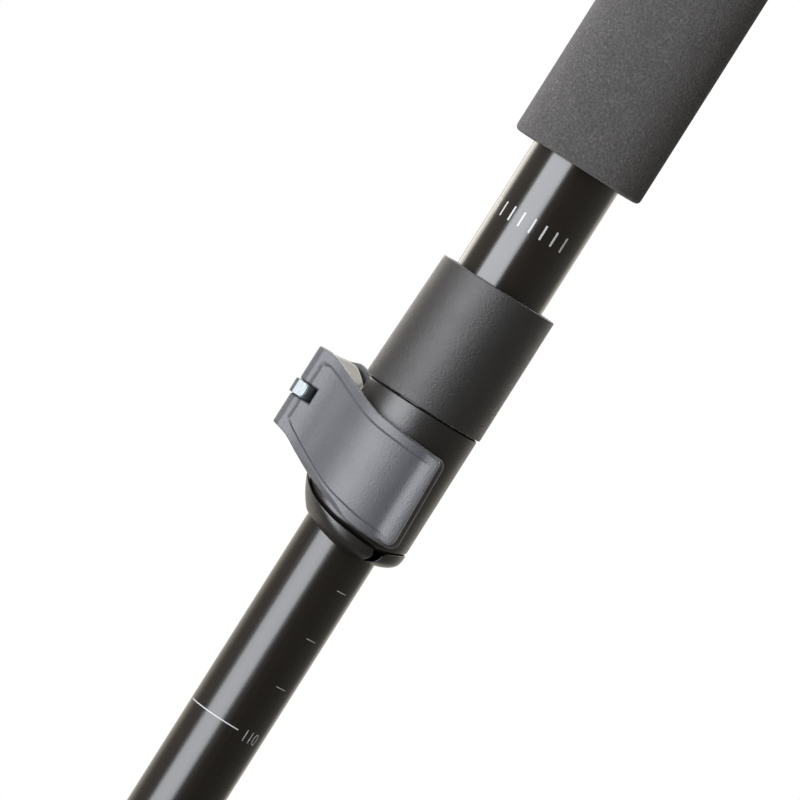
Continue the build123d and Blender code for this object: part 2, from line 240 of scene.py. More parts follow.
# ---------------------------------------------------------------- materials
class Surface:
    """A node material made from a few layers of noise in the object's own coordinates, in millimetres."""

    def __init__(self, name, roughness, metallic=0.0, **constants):
        self.material = bpy.data.materials.new(name)
        self.material.use_nodes = True
        tree = self.material.node_tree
        self.nodes, self.links = tree.nodes, tree.links
        self.shader = self.nodes["Principled BSDF"]
        self.shader.inputs["Roughness"].default_value = roughness
        self.shader.inputs["Metallic"].default_value = metallic
        for key, value in constants.items():
            self.shader.inputs[key.replace("_", " ")].default_value = value
        coordinates = self.nodes.new("ShaderNodeTexCoord")
        self.place = self.nodes.new("ShaderNodeMapping")
        self.place.inputs["Scale"].default_value = (1 / MM,) * 3
        self.links.new(coordinates.outputs["Object"], self.place.inputs["Vector"])
        self.bump = None

    def stretched(self, scale):
        """Coordinates in millimetres, scaled along each axis."""
        node = self.nodes.new("ShaderNodeMapping")
        node.inputs["Scale"].default_value = scale
        self.links.new(self.place.outputs[0], node.inputs["Vector"])
        return node.outputs[0]

    def noise(self, scale, detail=2.0, stretch=None, rough=0.5, distortion=0.0):
        node = self.nodes.new("ShaderNodeTexNoise")
        node.inputs["Scale"].default_value = scale
        node.inputs["Detail"].default_value = detail
        node.inputs["Roughness"].default_value = rough
        node.inputs["Distortion"].default_value = distortion
        place = self.stretched(stretch) if stretch else self.place.outputs[0]
        self.links.new(place, node.inputs["Vector"])
        return node.outputs["Fac"]

    def cells(self, scale, feature="F1"):
        node = self.nodes.new("ShaderNodeTexVoronoi")
        node.feature = feature
        node.inputs["Scale"].default_value = scale
        self.links.new(self.place.outputs[0], node.inputs["Vector"])
        return node.outputs["Distance"]

    def mapped(self, value, from_low, from_high, to_low, to_high):
        node = self.nodes.new("ShaderNodeMapRange")
        for key, number in zip(
            ("From Min", "From Max", "To Min", "To Max"), (from_low, from_high, to_low, to_high)
        ):
            node.inputs[key].default_value = number
        self.links.new(value, node.inputs["Value"])
        return node.outputs["Result"]

    def math(self, operation, a, b):
        node = self.nodes.new("ShaderNodeMath")
        node.operation = operation
        for socket, value in zip(node.inputs, (a, b)):
            if isinstance(value, (int, float)):
                socket.default_value = value
            else:
                self.links.new(value, socket)
        return node.outputs[0]

    def mixed(self, factor, a, b):
        """A colour between a and b, which are colours or sockets."""
        node = self.nodes.new("ShaderNodeMix")
        node.data_type = "RGBA"
        self.links.new(factor, node.inputs[0])
        for socket, value in ((node.inputs[6], a), (node.inputs[7], b)):
            if isinstance(value, tuple):
                socket.default_value = (*value, 1)
            else:
                self.links.new(value, socket)
        return node.outputs[2]

    def colour(self, socket):
        self.links.new(socket, self.shader.inputs["Base Color"])

    def roughness(self, socket):
        self.links.new(socket, self.shader.inputs["Roughness"])

    def relief(self, height, depth, strength=1.0):
        """Adds a bump layer whose full height is depth millimetres."""
        node = self.nodes.new("ShaderNodeBump")
        node.inputs["Distance"].default_value = depth * MM
        node.inputs["Strength"].default_value = strength
        self.links.new(height, node.inputs["Height"])
        if self.bump:
            self.links.new(self.bump, node.inputs["Normal"])
        self.bump = node.outputs["Normal"]
        self.links.new(self.bump, self.shader.inputs["Normal"])


def moulded(name, dark, light, roughness, grain, depth, spread=0.06, **constants):
    """Moulded plastic: a spark-eroded grain, faint flow marks and a slightly uneven gloss."""
    s = Surface(name, roughness, **constants)
    fine = s.noise(grain, 3.0, rough=0.6)
    broad = s.noise(0.18, 2.0)
    flow = s.noise(0.5, 4.0, stretch=(1, 1, 0.25))
    tone = s.math("ADD", s.math("MULTIPLY", fine, 0.6), s.math("MULTIPLY", flow, 0.4))
    s.colour(s.mixed(tone, dark, light))
    gloss = s.math("ADD", s.math("MULTIPLY", broad, 0.5), s.math("MULTIPLY", fine, 0.5))
    s.roughness(s.mapped(gloss, 0.3, 0.7, roughness - spread, roughness + spread))
    s.relief(fine, depth)
    s.relief(broad, 0.02, 0.3)
    return s.material


def lacquered(name, dark, light, roughness, grain=0.0007, **constants):
    """Lacquered tube: a fine orange peel, faint drawn lines along the tube and small scuffs."""
    s = Surface(name, roughness, **constants)
    peel = s.noise(1.3, 2.0)
    drawn = s.noise(2.2, 3.0, stretch=(1, 1, 0.012))
    dust = s.noise(5.0, 2.0)
    scuff = s.mapped(s.noise(0.09, 5.0, stretch=(1, 1, 0.4), rough=0.65), 0.60, 0.72, 0.0, 1.0)
    s.colour(s.mixed(drawn, dark, light))
    base = s.mapped(drawn, 0.3, 0.7, roughness - 0.02, roughness + 0.03)
    s.roughness(s.math("ADD", base, s.math("MULTIPLY", s.math("MULTIPLY", scuff, dust), 0.10)))
    s.relief(peel, 0.0022)
    s.relief(dust, grain)
    return s.material


def metal(name, colour, roughness, lines=(1, 1, 0.05), grain=6.0, depth=0.003):
    """Turned or brushed metal with fine tool lines."""
    s = Surface(name, roughness, metallic=1.0)
    brushed = s.noise(grain, 3.0, stretch=lines)
    tint = s.noise(0.4, 3.0)
    lighter = tuple(min(1.0, c * 1.12) for c in colour)
    s.colour(s.mixed(tint, colour, lighter))
    s.roughness(s.mapped(brushed, 0.3, 0.7, roughness - 0.05, roughness + 0.07))
    s.relief(brushed, depth)
    return s.material


def foam_material():
    """Closed-cell foam: fine pores, paler skinned-over cells and a soft bloom at grazing angles."""
    s = Surface("foam_eva", 0.9, Sheen_Weight=0.02, Sheen_Roughness=0.6, Diffuse_Roughness=1.0)
    s.shader.inputs["Specular IOR Level"].default_value = 0.08
    pores = s.cells(2.3)
    fine = s.noise(2.4, 4.0, rough=0.65)
    blotch = s.noise(0.25, 3.0)
    sparkle = s.mapped(s.noise(1.9, 2.0), 0.60, 0.70, 0.0, 1.0)
    body = s.mixed(s.mapped(fine, 0.3, 0.7, 0.0, 1.0), (0.0222, 0.0211, 0.0200), (0.0545, 0.0522, 0.0498))
    body = s.mixed(s.mapped(blotch, 0.3, 0.7, 0.0, 0.35), body, (0.026, 0.0245, 0.0235))
    s.colour(s.mixed(s.math("MULTIPLY", sparkle, 0.45), body, (0.075, 0.072, 0.07)))
    s.relief(pores, 0.13, 0.8)
    s.relief(fine, 0.10, 0.8)
    return s.material


foam = foam_material()
black_tube = lacquered("black_lacquer", (0.0036, 0.0029, 0.0022), (0.0060, 0.0049, 0.0038), 0.17)
black_shaft = lacquered("black_anodised", (0.0030, 0.0024, 0.0018), (0.0050, 0.0041, 0.0032), 0.23,
                        grain=0.0035, Specular_IOR_Level=0.43)
collar_plastic = moulded("collar_nylon", (0.0030, 0.0027, 0.0024), (0.0090, 0.0083, 0.0075), 0.5, 3.2, 0.11,
                         Specular_IOR_Level=0.38, Sheen_Weight=0.2, Sheen_Roughness=0.3)
clamp_plastic = moulded("clamp_nylon", (0.0030, 0.0027, 0.0023), (0.0065, 0.0058, 0.0050), 0.37, 2.8, 0.04,
                        Specular_IOR_Level=0.42)
lever_plastic = moulded("lever_nylon", (0.0238, 0.0246, 0.0277), (0.0362, 0.0371, 0.0412), 0.47, 3.0, 0.085,
                        Specular_IOR_Level=0.42, Sheen_Weight=0.10, Sheen_Roughness=0.35)
steel = metal("bright_steel", (0.52, 0.55, 0.56), 0.18)
zinc = metal("zinc_plate", (0.092, 0.103, 0.105), 0.38, lines=(1, 1, 0.2), grain=3.0, depth=0.007)
grip_rubber = moulded("grip_rubber", (0.010, 0.0096, 0.0092), (0.020, 0.0192, 0.0185), 0.62, 2.2, 0.05)
cap_plastic = moulded("cap_nylon", (0.006, 0.0057, 0.0054), (0.013, 0.0124, 0.0118), 0.42, 3.0, 0.02)
liner_plastic = moulded("liner_nylon", (0.34, 0.34, 0.33), (0.44, 0.44, 0.43), 0.45, 3.0, 0.01)
basket_plastic = moulded("basket_nylon", (0.006, 0.0058, 0.0056), (0.014, 0.0135, 0.013), 0.48, 2.4, 0.03)
tip_plastic = moulded("tip_nylon", (0.007, 0.0067, 0.0065), (0.016, 0.0155, 0.015), 0.45, 2.8, 0.02)
wear_plate = metal("wear_plate", (0.52, 0.52, 0.53), 0.28, grain=8.0)
ferrule_metal = metal("ferrule_aluminium", (0.62, 0.63, 0.64), 0.26, lines=(1, 1, 6), grain=2.0)
button_metal = metal("button_steel", (0.30, 0.30, 0.31), 0.32, lines=(1, 1, 1), grain=3.0, depth=0.002)
spring_steel = metal("spring_steel", (0.45, 0.45, 0.47), 0.3, lines=(1, 1, 1), grain=9.0)
carbide = metal("carbide", (0.42, 0.42, 0.44), 0.36, lines=(1, 1, 3), grain=4.0, depth=0.006)
cord_sheath = moulded("cord_sheath", (0.020, 0.020, 0.021), (0.05, 0.05, 0.052), 0.5, 5.0, 0.03)
print_ink = moulded("pale_print", (0.15, 0.15, 0.148), (0.21, 0.21, 0.207), 0.5, 6.0, 0.002)

# ---------------------------------------------------------------- lever
LEVER_OUTER = 13.0
LEVER_INNER = CLAMP_RADIUS + 0.35
PLATE_FRONT = -9.42
PLATE_BACK = -7.4
LEVER_END = 8.5
EYE_RADIUS = 1.98
NOTCH_WALL = -15.1
NOTCH_HEIGHT = 2.9
RIM_WIDTH = 1.6
RECESS = 0.38
RIDGE_TOP = 1.7
PIN_BORE = 1.2
WRAP_START = math.radians(-46)
# edges seen from the front, as (x, height above the split between collar and clamp)
TOP_EDGE = [(-24, -0.8), (-20.6, -0.6), (-17.6, -0.8), (-15.9, -1.35), (-12.5, -2.7), (-9.6, -3.8),
            (-6.7, -4.6), (-2.2, -5.15), (2.0, -5.45), (5.9, -5.75), (10, -6.0)]
LOW_EDGE = [(-24, -16.2), (-20.4, -16.5), (-18.4, -17.0), (-15.0, -18.7), (-11.5, -20.4), (-6.7, -22.3),
            (-3.0, -23.1), (0.5, -23.7), (3.0, -23.9), (6.5, -24.0), (10, -24.0)]


def lever_field(x, y, z):
    """A plate over the hinge that runs into a wrap round the clamp, with a finger ridge at its free end."""
    s = z - SPLIT
    u, w = clamp_frame(x, y)
    radius = np.hypot(x, y)
    hinge_side = -(u * math.cos(WRAP_START) + w * math.sin(WRAP_START))
    top = (s - through(x, TOP_EDGE)) * 0.95
    base = (through(x, LOW_EDGE) - s) * 0.95
    end = x - LEVER_END - 0.035 * (-6.6 - s)
    # the finger ridge rises from the wrapped face and drops to a thin flange all round the free end
    crest = end + 0.85
    boss = round_max(round_max(top + 0.22, crest, 0.9), base + 0.15 + 0.45 * smooth_step(x, 1, 6), 1.4)
    flange = 0.45 * smooth_step(boss, -0.12, 0.1) * smooth_step(x, -2.0, 3.0)
    ridge = RIDGE_TOP * smooth_step(x, 4.0, 8.8) * (1 - smooth_step(boss, -0.3, 0.0))
    # the panel between the rims is sunk, and comes up to nothing at the ridge
    inner = smooth_max(smooth_max(top + RIM_WIDTH, base + RIM_WIDTH, 0.3), -(x + 19.9), 0.3)
    run = 0.42 + 0.9 * (1 - smooth_step(x, -19.5, -17.5))
    sunk = RECESS * smooth_step(-inner, 0.0, run) * (1 - smooth_step(x, 3.2, 6.6))
    drop = sunk + flange - ridge
    wrap = np.maximum(np.maximum(radius - LEVER_OUTER + drop, LEVER_INNER - radius), hinge_side)
    wrap = np.maximum(wrap, y + 2.5)
    plate = np.maximum(box_field(u, w, PIVOT_U, -1.0, PLATE_FRONT, PLATE_BACK), LEVER_INNER - radius)
    plate = np.maximum(plate, PLATE_FRONT - w + drop)
    body = smooth_min(wrap, plate, 3.5 + 1.8 * smooth_step(-x, 10, 15))
    eye = np.hypot(u - PIVOT_U, w - PIVOT_W) - EYE_RADIUS
    body = smooth_min(body, eye, 0.5)
    chamfer = 1.15 * smooth_step(x, -16.5, -10) * (1 - smooth_step(x, -6, 0))
    body = bevel_max(body, base, chamfer)
    body = round_max(body, round_max(round_max(top, end, 1.5), base, 1.9), 0.3)
    pin = np.hypot(u - PIVOT_U, w - PIVOT_W) - PIN_BORE
    body = np.maximum(body, -pin)
    notch = np.maximum(u - NOTCH_WALL, np.abs(z - PIVOT.z) - NOTCH_HEIGHT / 2)
    return bevel_max(body, -notch, 0.28)


vertices, faces = skin(
    lever_field,
    (low("lever").x - 1, low("lever").y - 1.6, low("lever").z - 1),
    (high("lever").x + 1, high("lever").y + 1, high("lever").z + 1),
    0.13,
)
piece("lever_shell", vertices, faces, "clamp_lever", lever_plastic, ["lever"])

# ---------------------------------------------------------------- clamp body and its ears
BODY_LOW = [(-11.5, -20.1), (-9.8, -21.2), (-8.0, -22.3), (-4.0, -23.6), (1.0, -24.1), (4.0, -24.5),
            (5.9, -24.8), (8.5, -24.4), (11.1, -23.5)]
EAR_LOW = low("clamp_body").z + 8.4
SLIT = 1.2
EAR_HALF = 4.4
EAR_END = -20.2
BOLT_BORE = 1.5
EAR_CREST = [(-18.6, -0.9), (-17.4, -0.7), (-15.4, -0.45), (-13.7, -0.6), (-12.6, -1.3), (-11.6, -2.1),
             (-10.2, -3.5)]
BACK_CREST = [(-19.0, -1.3), (-16.5, -0.9), (-14.9, -0.35), (-13.5, 0.15), (-12.0, -0.05), (-11.0, -0.3)]


def clamp_parts(x, y, z):
    """The sleeve round the pole with its two ears, cut by the slit, the tube's bore and the bolt's bore."""
    s = z - SPLIT
    u, w = clamp_frame(x, y)
    radius = np.hypot(x, y)
    # below its lower rim the body tapers inwards, into the ring
    under = (radius - CLAMP_RADIUS + 1.7 * (through(x, BODY_LOW) - s)) * 0.5
    sleeve = round_max(round_max(radius - CLAMP_RADIUS, s + 0.2, 0.45), under, 0.25)
    sleeve = np.maximum(sleeve, -25.4 - s)
    block = round_max(box_field(u, w, EAR_END, -6, -EAR_HALF, EAR_HALF), EAR_END - u, 0.6)
    # the front ear's top slopes up from the lever's rim, and the back ear stands a little above it
    slope = s - through(x, TOP_EDGE) + 0.5 - 0.62 * (w + EAR_HALF)
    front_top = smooth_max(slope * 0.85, s - through(x, EAR_CREST), 0.25)
    back_top = s - through(x, BACK_CREST)
    ear_top = np.where(w < 0, front_top, back_top)
    ears = round_max(round_max(block, ear_top, 0.25), EAR_LOW - z, 0.5)
    ears = np.maximum(ears, np.minimum(s + 0.2, COLLAR_RADIUS + 1.0 - radius))
    body = smooth_min(sleeve, ears, 0.5)
    body = np.maximum(body, TUBE_RADIUS + 0.02 - radius)
    body = np.maximum(body, -np.maximum(np.abs(w) - SLIT / 2, u + 7.5))
    bolt = np.hypot(u - PIVOT_U, z - PIVOT.z) - BOLT_BORE
    return np.maximum(body, -np.maximum(bolt, u + 10))


vertices, faces = skin(
    clamp_parts,
    (low("clamp_body").x - 1, low("clamp_body").y - 1, SPLIT - 25.8),
    tuple(v + 1.3 for v in high("clamp_body")),
    0.16,
)
piece("clamp_housing", vertices, faces, "upper_section", clamp_plastic, ["clamp_body"])

# ---------------------------------------------------------------- bottom ring of the clamp
RING_TOP = [(-11.5, -20.5), (-8.8, -22.6), (-4.0, -24.2), (0.5, -24.85), (5.6, -25.15), (8.5, -24.75),
            (11.1, -23.85)]
RING_LOW = [(-11.8, -25.5), (-8.0, -26.2), (-4.0, -27.5), (-0.5, -28.3), (3.0, -28.5), (6.5, -28.2),
            (8.5, -27.95), (11.0, -27.7)]
# the gap's sides, as (height above the split, x)
GAP_LEFT = [(-28.8, 4.7), (-27.85, 5.15), (-26.55, 6.0), (-25.2, 5.65), (-24.0, 5.4)]
GAP_RIGHT = [(-28.8, 4.9), (-28.05, 5.45), (-27.35, 6.6), (-26.45, 7.35), (-25.75, 7.55), (-24.85, 8.1),
             (-24.0, 8.5)]
RING_FOOT = 7.95
RING_SWELL = 3.5
GAP_FLOOR = 8.2


def ring_field(x, y, z):
    """The ring under the clamp, which swells from the shaft out to the body's rim."""
    s = z - SPLIT
    radius = np.hypot(x, y)
    low_edge, top_edge = through(x, RING_LOW), through(x, RING_TOP)
    h = np.clip((s - low_edge) / (top_edge - low_edge), 0.0, 1.0)
    turn = smooth_step(x, -9, 3)
    swell = 1 - (1 - h) ** (1.0 + 2.9 * turn)
    outer = RING_FOOT + (RING_SWELL - 0.3 * turn) * swell
    body = np.maximum((radius - outer) * 0.75, SHAFT_RADIUS + 0.25 - radius)
    body = round_max(round_max(body, s - top_edge, 0.2), low_edge - s, 0.15)
    # a wedge-shaped gap parts the ring in front, and runs out to a point at its lower edge
    gap = np.maximum(through(s, GAP_LEFT) - x, x - through(s, GAP_RIGHT)) * 0.75
    gap = np.maximum(np.maximum(gap, y + 3.0), GAP_FLOOR - radius)
    return bevel_max(body, -gap, 0.12)


vertices, faces = skin(ring_field, (-13, -13, SPLIT - 29.1), (13, 13, SPLIT - 20.0), 0.15)
piece("clamp_foot", vertices, faces, "upper_section", clamp_plastic, ["clamp_ring"])

# ---------------------------------------------------------------- collar sleeve
collar_top = high("collar_sleeve").z
SWELL_SIDE = math.radians(-112)
SWELL = [(0, 0.62), (4, 0.6), (12, 0.53), (15.5, 0.36), (20, 0.0), (24, -0.07)]


def collar_warp(r, angle, z):
    """The sleeve swells a little over the hinge, towards its lower end."""
    toward_hinge = np.maximum(np.cos(angle - SWELL_SIDE), 0) ** 2
    swell = 1.1 * toward_hinge * through(z - SPLIT, SWELL)
    return r + swell * (r > COLLAR_RADIUS - 1.2)


profile = [
    (TUBE_RADIUS, SPLIT),
    (COLLAR_RADIUS, SPLIT),
    (COLLAR_RADIUS, collar_top),
    (COLLAR_RADIUS - 0.75, collar_top),
    (COLLAR_RADIUS - 1.3, collar_top - 1.1),
    (TUBE_RADIUS, collar_top - 1.1),
]
profile = rounded(profile, [0, 0.25, 0.3, 0.15, 0.3, 0])
vertices, faces = lathe(profile, 192, collar_warp)
piece("collar_shell", vertices, faces, "upper_section", collar_plastic, ["collar_sleeve"],
      35)

# ---------------------------------------------------------------- foam sleeve
foam_low, foam_high = low("foam_sleeve").z - 0.8, high("foam_sleeve").z
profile = rounded(
    [(TUBE_RADIUS, foam_low), (FOAM_RADIUS, foam_low), (FOAM_RADIUS, foam_high), (TUBE_RADIUS, foam_high)],
    [0.3, 1.1, 0.4, 0],
)
vertices, faces = lathe(profile, 192)
foam_grip = piece("foam_grip", vertices, faces, "upper_section", foam, ["foam_sleeve"], 60)

# ---------------------------------------------------------------- scale printed on the shaft
INK = 0.018
INK_ROOT = 0.01
SCALE_110 = 714.15
CENTIMETRE = 9.93
LAST_MARK = 20
TICK_ANGLES, TICK_HALF = (34, 52), 0.075
LINE_ANGLES, LINE_HALF = (-74, 20), 0.1
NUMERAL_ANGLE = math.radians(29)
NUMERAL_SIZE = 3.3
NUMERAL_WIDTH = 0.74
NUMERAL_SPACING = 1.05
NUMERAL_THINNING = 0.035
NUMERAL_DROP = 1.35


def printed(name, strips, body, shaft_radius=SHAFT_RADIUS):
    """Thin printed strips round a tube, each (start angle, end angle, low z, high z) in degrees and mm."""
    vertices, faces = [], []
    for start, end, z0, z1 in strips:
        count = max(2, int(abs(end - start) / 3))
        first = len(vertices)
        for a in np.radians(np.linspace(start, end, count + 1)):
            for r in (shaft_radius - INK_ROOT, shaft_radius + INK):
                for h in (z0, z1):
                    vertices.append((r * math.sin(a), -r * math.cos(a), h))
        for k in range(count):
            a, b = first + 4 * k, first + 4 * k + 4
            faces += [(a + 2, b + 2, b + 3, a + 3), (a, a + 1, b + 1, b), (a, b, b + 2, a + 2)]
            faces += [(a + 1, a + 3, b + 3, b + 1)]
        last = first + 4 * count
        faces += [(first, first + 2, first + 3, first + 1), (last, last + 1, last + 3, last + 2)]
    return piece(name, vertices, faces, body, print_ink, sharp=30)


strips = []
for step in range(LAST_MARK + 1):
    height = SCALE_110 + step * CENTIMETRE
    angles, half = (TICK_ANGLES, TICK_HALF) if step % 10 else (LINE_ANGLES, LINE_HALF)
    strips.append((*angles, height - half, height + half))
printed("scale_marks", strips, "telescoping_shaft")


def numeral(text, low_z):
    """A number that reads round the shaft, bent onto it."""
    curve = bpy.data.curves.new("numeral", "FONT")
    curve.body = text
    curve.size = NUMERAL_SIZE
    curve.extrude = INK
    curve.offset = -NUMERAL_THINNING
    curve.space_character = NUMERAL_SPACING
    source = bpy.data.objects.new("numeral", curve)
    bpy.context.scene.collection.objects.link(source)
    bpy.context.view_layer.update()
    mesh = bpy.data.meshes.new_from_object(source.evaluated_get(bpy.context.evaluated_depsgraph_get()))
    bpy.data.objects.remove(source)
    flat = np.array([v.co for v in mesh.vertices])
    faces = [tuple(p.vertices) for p in mesh.polygons]
    flat[:, 0] *= NUMERAL_WIDTH
    angle = NUMERAL_ANGLE + flat[:, 0] / SHAFT_RADIUS
    radius = SHAFT_RADIUS + np.where(flat[:, 2] > 0, INK, -INK_ROOT)
    vertices = np.stack([radius * np.sin(angle), -radius * np.cos(angle), low_z + flat[:, 1]], 1)
    return piece("scale_" + text, vertices, faces, "telescoping_shaft", print_ink, sharp=30)


for text, step in (("110", 0), ("120", 10), ("130", 20)):
    numeral(text, SCALE_110 + step * CENTIMETRE - NUMERAL_DROP)

# ---------------------------------------------------------------- plain printed bars on the upper tube
BAR_WIDTH = 2.4
BAR_LOW, BAR_HIGH = SPLIT + 35.6, SPLIT + 38.4
bars = [(a, a + BAR_WIDTH, BAR_LOW, BAR_HIGH) for a in range(-68, 52, 15)]
printed("tube_bars", bars, "upper_section", TUBE_RADIUS)

# ---------------------------------------------------------------- pivot barrel, seen in the lever's notch
BARREL_RADIUS = 2.5
BARREL_HALF = 1.34
CORE_RADIUS = 1.9
PIN_RADIUS = 1.1
SPOT_RADIUS, SPOT_FACE = 1.8, 2.24
BLIND_RADIUS, BLIND_END = 1.35, 2.12
PIN_HALF = (high("pivot_barrel").z - low("pivot_barrel").z) / 2


def barrel_field(x, y, z):
    """A turned barrel with a pin at each end. Its front half is the larger, to fill the lever's notch."""
    u, w = clamp_frame(x, y)
    u, w, h = u - PIVOT_U, w - PIVOT_W, z - PIVOT.z
    radius = np.hypot(u, w)
    core = np.minimum(radius - CORE_RADIUS, round_max(radius - BARREL_RADIUS, w - 1.2, 0.3))
    core = round_max(core, np.abs(h) - BARREL_HALF, 0.12)
    # a round spot face in front, over the blind hole for the bolt
    core = bevel_max(core, -np.maximum(np.hypot(u + 0.6, h) - SPOT_RADIUS, w + SPOT_FACE), 0.05)
    core = np.maximum(core, -np.maximum(np.hypot(u, h) - BLIND_RADIUS, -BLIND_END - w))
    pins = np.maximum(radius - PIN_RADIUS, np.abs(h) - PIN_HALF)
    pins = np.maximum(pins, BARREL_HALF - 0.1 - np.abs(h))
    return np.minimum(core, pins)


vertices, faces = skin(
    barrel_field,
    (PIVOT.x - 2.8, PIVOT.y - 2.8, PIVOT.z - PIN_HALF - 0.2),
    (PIVOT.x + 2.8, PIVOT.y + 2.8, PIVOT.z + PIN_HALF + 0.2),
    0.06,
)
piece("barrel_turned", vertices, faces, "upper_section", zinc, ["pivot_barrel"])

# ---------------------------------------------------------------- grip
grip_low, grip_high = low("grip_body").z, high("grip_body").z
HALF_WIDTH = [(0, 13.6), (12, 15.2), (34, 13.9), (68, 14.8), (108, 16.1)]
HALF_DEPTH = [(0, 14.5), (12, 17.1), (34, 15.5), (68, 17.1), (86, 17.2), (108, 19.3)]
PAD_HALF_WIDTH, PAD_HALF_HEIGHT, PAD_MIDDLE = 9.2, 40, 57
RIB_PITCH = 3.4
FINGER_PITCH = 21


def grip_field(x, y, z):
    """An oval grip, waisted for the hand, with finger swells in front and a mould seam down each side."""
    h = z - grip_low
    a, b = through(h, HALF_WIDTH), through(h, HALF_DEPTH)
    body = (np.hypot(x / a, y / b) - 1) * a
    held = smooth_step(h, 20, 30) * (1 - smooth_step(h, 88, 96))
    fingers = 0.55 * np.cos((h - 40) * 2 * math.pi / FINGER_PITCH) * smooth_step(-y, 3, 11) * held
    # fine ribs on the front and back pads, inside a thin outline groove
    pad = round_max(np.abs(x) - PAD_HALF_WIDTH, np.abs(h - PAD_MIDDLE) - PAD_HALF_HEIGHT, 6.0)
    off_rib = np.abs((h % RIB_PITCH) - RIB_PITCH / 2)
    ribs = 0.42 * smooth_step(off_rib, 0.9, 1.35) * smooth_step(-pad, 0.7, 1.3)
    outline = 0.4 * (1 - smooth_step(np.abs(pad), 0.3, 1.1))
    seam = 0.18 * (1 - smooth_step(np.abs(y), 0.2, 0.9))
    body = body + fingers + (ribs + outline) * smooth_step(np.abs(y), 5, 7) + seam
    body = round_max(round_max(body, z - grip_high + 0.15, 0.5), grip_low + 0.15 - z, 0.9)
    return np.maximum(body, TUBE_RADIUS + 0.02 - np.hypot(x, y))


vertices, faces = skin(grip_field, (-19, -21, grip_low - 1.2), (19, 21, grip_high + 1.2), 0.5)
piece("grip_shell", vertices, faces, "upper_section", grip_rubber, ["grip_body"])

# ---------------------------------------------------------------- grip cap with its strap slot
cap_low, cap_high = low("grip_cap").z, high("grip_cap").z
SLOT_STATION = 1118.0
SLOT_HALF_WIDTH, SLOT_HALF_HEIGHT, SLOT_DEPTH = 9.0, 4.5, 7.4


def cap_field(x, y, z):
    """A domed cap with a groove near its foot, a ring on its top and the slot for a strap in front."""
    a, b = high("grip_cap").x - 0.03, high("grip_cap").y - 0.03
    side = (np.hypot(x / a, y / b) - 1) * a
    body = round_max(round_max(side, z - cap_high, 9.0), cap_low - z, 0.5)
    band = 0.3 * (1 - smooth_step(np.abs(z - cap_low - 2.6), 0.25, 0.55))
    ring = np.abs(np.hypot(x / 8.5, y / 11.0) - 1) * 8.5
    inlay = 0.35 * (1 - smooth_step(ring, 0.25, 0.6)) * smooth_step(z, cap_high - 4, cap_high - 2)
    slot = round_max(np.abs(x) - SLOT_HALF_WIDTH, np.abs(z - SLOT_STATION) - SLOT_HALF_HEIGHT, 0.8)
    return bevel_max(body + band + inlay, -np.maximum(slot, -SLOT_DEPTH - y), 0.7)


vertices, faces = skin(cap_field, (-17.5, -20.7, cap_low - 1.3), (17.5, 20.7, cap_high + 1.3), 0.42)
piece("cap_shell", vertices, faces, "upper_section", cap_plastic, ["grip_cap"])

# ---------------------------------------------------------------- moulded collars at the tube ends
RIBS = 30
RIB_DEPTH = 0.26


def joint_collar(name, node, inner, body, bevel_up):
    """A ribbed ring, bevelled at one end. Its ribs run along the pole, between two plain edges."""
    z0, z1, outer = low(node).z, high(node).z, high(node).x
    rows = [(inner, z0), (outer, z0), (outer, z0 + 0.9), (outer, z0 + 1.3)]
    rows += [(outer, z1 - 2.0), (outer, z1 - 1.6), (outer - 0.15, z1 - 0.9)]
    rows += [(inner + 0.45, z1), (inner, z1)]
    profile = rounded(rows, [0, 0.3, 0, 0, 0, 0, 0.3, 0.2, 0], 3)
    if not bevel_up:
        profile = [(r, z0 + z1 - z) for r, z in reversed(profile)]
    middle_z, half = (z0 + 1.1 + z1 - 1.8) / 2, (z1 - z0 - 2.9) / 2
    middle_z = middle_z if bevel_up else z0 + z1 - middle_z

    def ribs(r, angle, z):
        lane = (np.abs(z - middle_z) < half - 0.05) & (r > outer - 0.05)
        return r - RIB_DEPTH * lane * (0.5 + 0.5 * np.cos(angle * RIBS)) ** 1.5

    vertices, faces = lathe(profile, 300, ribs)
    piece(name, vertices, faces, body, clamp_plastic, [node], 50)


MIDDLE_RADIUS = high("middle_tube").x
LOWER_RADIUS = high("lower_tube").x
joint_collar("shaft_collar_ribbed", "shaft_end_collar", SHAFT_RADIUS, "telescoping_shaft", True)
joint_collar("middle_top_ribbed", "middle_top_collar", MIDDLE_RADIUS, "middle_section", False)
joint_collar("middle_end_ribbed", "middle_end_collar", MIDDLE_RADIUS, "middle_section", True)
joint_collar("lower_top_ribbed", "lower_top_collar", LOWER_RADIUS, "lower_section", False)

# ---------------------------------------------------------------- basket
basket_low, basket_high, basket_radius = low("basket").z, high("basket").z, high("basket").x
SPOKES = 8
HUB_BORE = 7.05
HUB_RADIUS, HUB_MIDDLE = 9.55, 4.95
WINDOW_IN, WINDOW_OUT, SPOKE_HALF = 12.2, 22.2, 1.7


